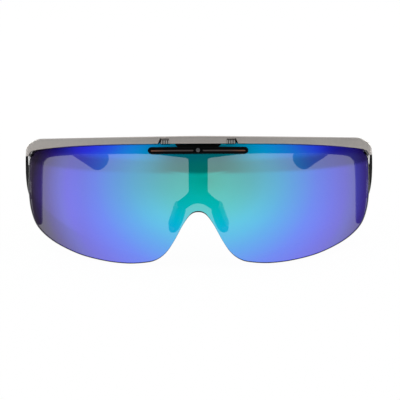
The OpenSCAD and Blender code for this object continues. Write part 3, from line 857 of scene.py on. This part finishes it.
def temple_form(keys):
    """A temple's skin: at each distance along a path that runs straight and then on an arc, a
    rounded upright section between its lower and upper edge. Both ends are flat. The whole is
    turned outwards about the hinge."""
    s, low, high, thick, drawn = smooth(keys, 14).T[:, :, None]
    turned = np.maximum(0, s - TEMPLE_STRAIGHT) / TEMPLE_CURVE
    path_x = TEMPLE_X - TEMPLE_CURVE * (1 - np.cos(turned))
    path_y = TEMPLE_FRONT_Y + np.minimum(s, TEMPLE_STRAIGHT) + TEMPLE_CURVE * np.sin(turned)
    t = np.linspace(0, 2 * pi, SECTION_POINTS, endpoint=False)[None, :]
    across = np.sign(np.cos(t)) * np.abs(np.cos(t))**SECTION_ACROSS
    up = np.sign(np.sin(t)) * np.abs(np.sin(t))**SECTION_UP
    inward = thick / 2 * (1 - across) + drawn * ((1 - up) / 2)**4
    height = (low + high) / 2 + (high - low) / 2 * up
    x = path_x - inward * np.cos(turned) - HINGE[0]
    y = path_y - inward * np.sin(turned) - HINGE[1]
    return np.stack([x * cos(TEMPLE_SPLAY) + y * sin(TEMPLE_SPLAY),
                     y * cos(TEMPLE_SPLAY) - x * sin(TEMPLE_SPLAY), height], -1) + HINGE


def temples():
    """Both temples and their tips. The right ones are the left ones mirrored."""
    gloss = temple_gloss()
    rubber = soft_rubber("tip_rubber", 0.014)
    arm, tip = temple_form(TEMPLE_KEYS), temple_form(TIP_KEYS)
    for side, sign in (("left", 1), ("right", -1)):
        for form, finish, part, word, slot in (
                (arm, gloss, "temple", "temple_arm", "temple_plastic"),
                (tip, rubber, "temple_tip", "temple_sleeve", "tip_rubber")):
            piece = skin(f"{side}_{word}", f"{side}_arm", [finish], [form * [sign, 1, 1]], sharp=50)
            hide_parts(f"{side}_{part}")


# ---- Carried pieces ----


def dress(names, finish):
    """Gives CAD nodes a finish."""
    for name in names:
        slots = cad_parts[name].data.materials
        slots.clear()
        slots.append(finish)


# ---- Stage ----

# The camera: its distance from the front of the lens, its turn and roll, the point that it looks
# at, its focal length and sensor in millimetres, and how far it sees in metres
CAMERA_AWAY = 600.0
CAMERA_TURN = radians(0.44)
CAMERA_ROLL = radians(0.22)
AIM_X = 0.72
AIM_Z = 0.18
CAMERA_LENS = 135
CAMERA_SENSOR = 36
CAMERA_FAR = 20
# Half the floor's side in metres, and how much of what the camera sees of it is its own glow
FLOOR_HALF = 3.0
FLOOR_GLOW = 0.97
# The light room by height, where 0 is level and 1 straight up in the glasses' own frame: between
# which heights the lower wall dims, the lower wall ends, the band over it ends, the cool tint of
# the wall over that ends, and the ceiling starts
WALL_DIMS = (-0.12, 0.125)
WALL_ENDS = (0.119, 0.132)
BAND_ENDS = (0.17, 0.195)
COOL_ENDS = (0.27, 0.36)
CEILING_STARTS = (0.45, 0.8)
COOL_TINT = (0.5, 0.78, 0.88, 1)
# The lower wall's level, how much it dims, and over which shares of the way aside and by how much
# the dimming lessens
WALL_LEVEL = 1.02
WALL_DIMMING = 0.36
WALL_SIDES = (0.4, 0.85)
WALL_SIDE_EASE = 0.6
# The band and the wall over it: the level straight ahead, each change of it between two shares of
# the way aside, and how much it falls from the middle to the wearer's left
BAND_AHEAD = 0.26
BAND_CHANGES = [(0.15, 0.6, 0.34), (0.7, 0.9, -0.12)]
BAND_SLOPE = 0.15
OVER_AHEAD = 0.3
OVER_CHANGES = [(0.15, 0.6, 0.7), (0.86, 0.98, -0.55)]
OVER_SLOPE = 0.1
CEILING_LEVEL = 0.95
# The far end of the room on the wearer's right is brighter
RIGHT_END = (0.86, 0.97)
RIGHT_GAIN = 0.25
# Each lamp's name, size in metres, power, place in metres and turn in degrees
LAMPS = [
    ("overhead", 0.9, 2.6, (0.1, 0.1, 0.9), (-6, 6, 0)),
    ("left_rim", 0.24, 1.3, (0.5, 0.4, 0.1), (0, 80, 42)),
    ("right_rim", 0.24, 1.3, (-0.5, 0.4, 0.1), (0, -80, -42))]


def glow_share(stage):
    """1 for rays from the camera and for mirrored or see-through ones, 0 for those that light."""
    return stage.node("LightPath", out="Is Camera Ray").either(
        stage.node("LightPath", out="Is Glossy Ray")).either(
        stage.node("LightPath", out="Is Transmission Ray"))


def floor():
    """A plain white table top that keeps a soft shadow."""
    half = FLOOR_HALF
    data = bpy.data.meshes.new("floor")
    data.from_pydata([(-half, -half, 0), (half, -half, 0), (half, half, 0), (-half, half, 0)], [],
                     [(0, 1, 2, 3)])
    top = Finish("floor_white")
    paper = top.node("BsdfDiffuse", {}, {0: (0.9, 0.9, 0.9, 1)})
    white = top.node("Emission", {}, {0: (1, 1, 1, 1), 1: 1.0})
    top.show(top.node("MixShader", {}, {0: glow_share(top) * FLOOR_GLOW, 1: paper, 2: white}))
    data.materials.append(top.material)
    piece = bpy.data.objects.new("floor", data)
    bpy.context.scene.collection.objects.link(piece)


def side_level(aside, level, changes):
    """A level straight ahead and its changes between two shares of the way aside."""
    for start, end, change in changes:
        level = level + aside.step(start, end) * change
    return level


def studio():
    """The light room: an even white room, whose front wall is bright below a straight edge and
    darker above it, one broad soft lamp overhead and a small one behind each side."""
    world = bpy.data.worlds.new("studio")
    world.use_nodes = True
    room = Finish("studio", world.node_tree)
    way = room.node("TexCoord", out="Generated")
    up = (0, sin(TILT), cos(TILT))
    height = room.node("VectorMath", {"operation": "DOT_PRODUCT"}, {0: way, 1: up}, "Value")
    across = room.axis(way, 0)
    aside = across.size()
    dimmed = height.step(*WALL_DIMS) * (1 - aside.step(*WALL_SIDES) * WALL_SIDE_EASE)
    low = WALL_LEVEL - dimmed * WALL_DIMMING
    band = side_level(aside, BAND_AHEAD, BAND_CHANGES) * (1 - across * BAND_SLOPE)
    over = side_level(aside, OVER_AHEAD, OVER_CHANGES) * (1 - across * OVER_SLOPE)
    rise = height.step(*BAND_ENDS)
    high = band * (1 - rise) + over * rise
    edge = height.step(*WALL_ENDS)
    wall = low * (1 - edge) + high * edge
    ceiling = height.step(*CEILING_STARTS)
    right = (across * -1).step(*RIGHT_END)
    level = (wall * (1 - ceiling) + ceiling * CEILING_LEVEL) * (1 + right * RIGHT_GAIN)
    cool = rise * (1 - height.step(*COOL_ENDS))
    colour = room.blend(cool, (1, 1, 1, 1), COOL_TINT)
    light = room.node("Background", {}, {0: colour, 1: level})
    seen = room.node("Background", {}, {0: (1, 1, 1, 1), 1: 1.0})
    share = room.node("LightPath", out="Is Camera Ray")
    room.show(room.node("MixShader", {}, {0: share, 1: light, 2: seen}), "OutputWorld")
    bpy.context.scene.world = world
    for lamp in LAMPS:
        hang_lamp(*lamp)


def hang_lamp(name, size, power, spot, turn):
    """A soft square lamp that shines along its own down axis."""
    lamp = bpy.data.lights.new(name, "AREA")
    lamp.size = size
    lamp.energy = power
    hung = bpy.data.objects.new(name, lamp)
    hung.location = spot
    hung.rotation_euler = [radians(a) for a in turn]
    bpy.context.scene.collection.objects.link(hung)


def camera():
    """A long lens that looks along the glasses' own depth, at the height of the lens."""
    right = np.array([cos(CAMERA_TURN), sin(CAMERA_TURN), 0])
    back = np.array([sin(CAMERA_TURN), -cos(CAMERA_TURN), 0])
    up = np.array([0, 0, 1])
    spot = right * AIM_X + up * AIM_Z + back * CAMERA_AWAY
    rolled = (right * cos(CAMERA_ROLL) - up * sin(CAMERA_ROLL),
              up * cos(CAMERA_ROLL) + right * sin(CAMERA_ROLL))
    origin = stand(np.zeros(3))
    axes = [stand(v) - origin for v in (*rolled, back)]
    turned = Matrix([list(a / np.linalg.norm(a)) for a in axes]).transposed().to_4x4()
    data = bpy.data.cameras.new("camera")
    data.lens = CAMERA_LENS
    data.sensor_width = CAMERA_SENSOR
    data.clip_end = CAMERA_FAR
    eye = bpy.data.objects.new("camera", data)
    eye.matrix_world = Matrix.Translation(stand(spot).tolist()) @ turned
    bpy.context.scene.collection.objects.link(eye)
    bpy.context.scene.camera = eye


camera()
shield_lens()
brow_cover()
brow_clips()
lens_bar()
inner_frame(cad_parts["inner_frame"])
nose_pads()
temples()
dress(["left_frame_hinge", "right_frame_hinge", "left_temple_hinge", "right_temple_hinge"],
      turned_steel("hinge_steel", (0.55, 0.55, 0.56), 0.26, 1200))
dress(["left_hinge_screw", "right_hinge_screw"],
      turned_steel("screw_steel", (0.68, 0.68, 0.69), 0.18, 1500))
floor()
studio()
bpy.context.scene.view_settings.view_transform = "Standard"
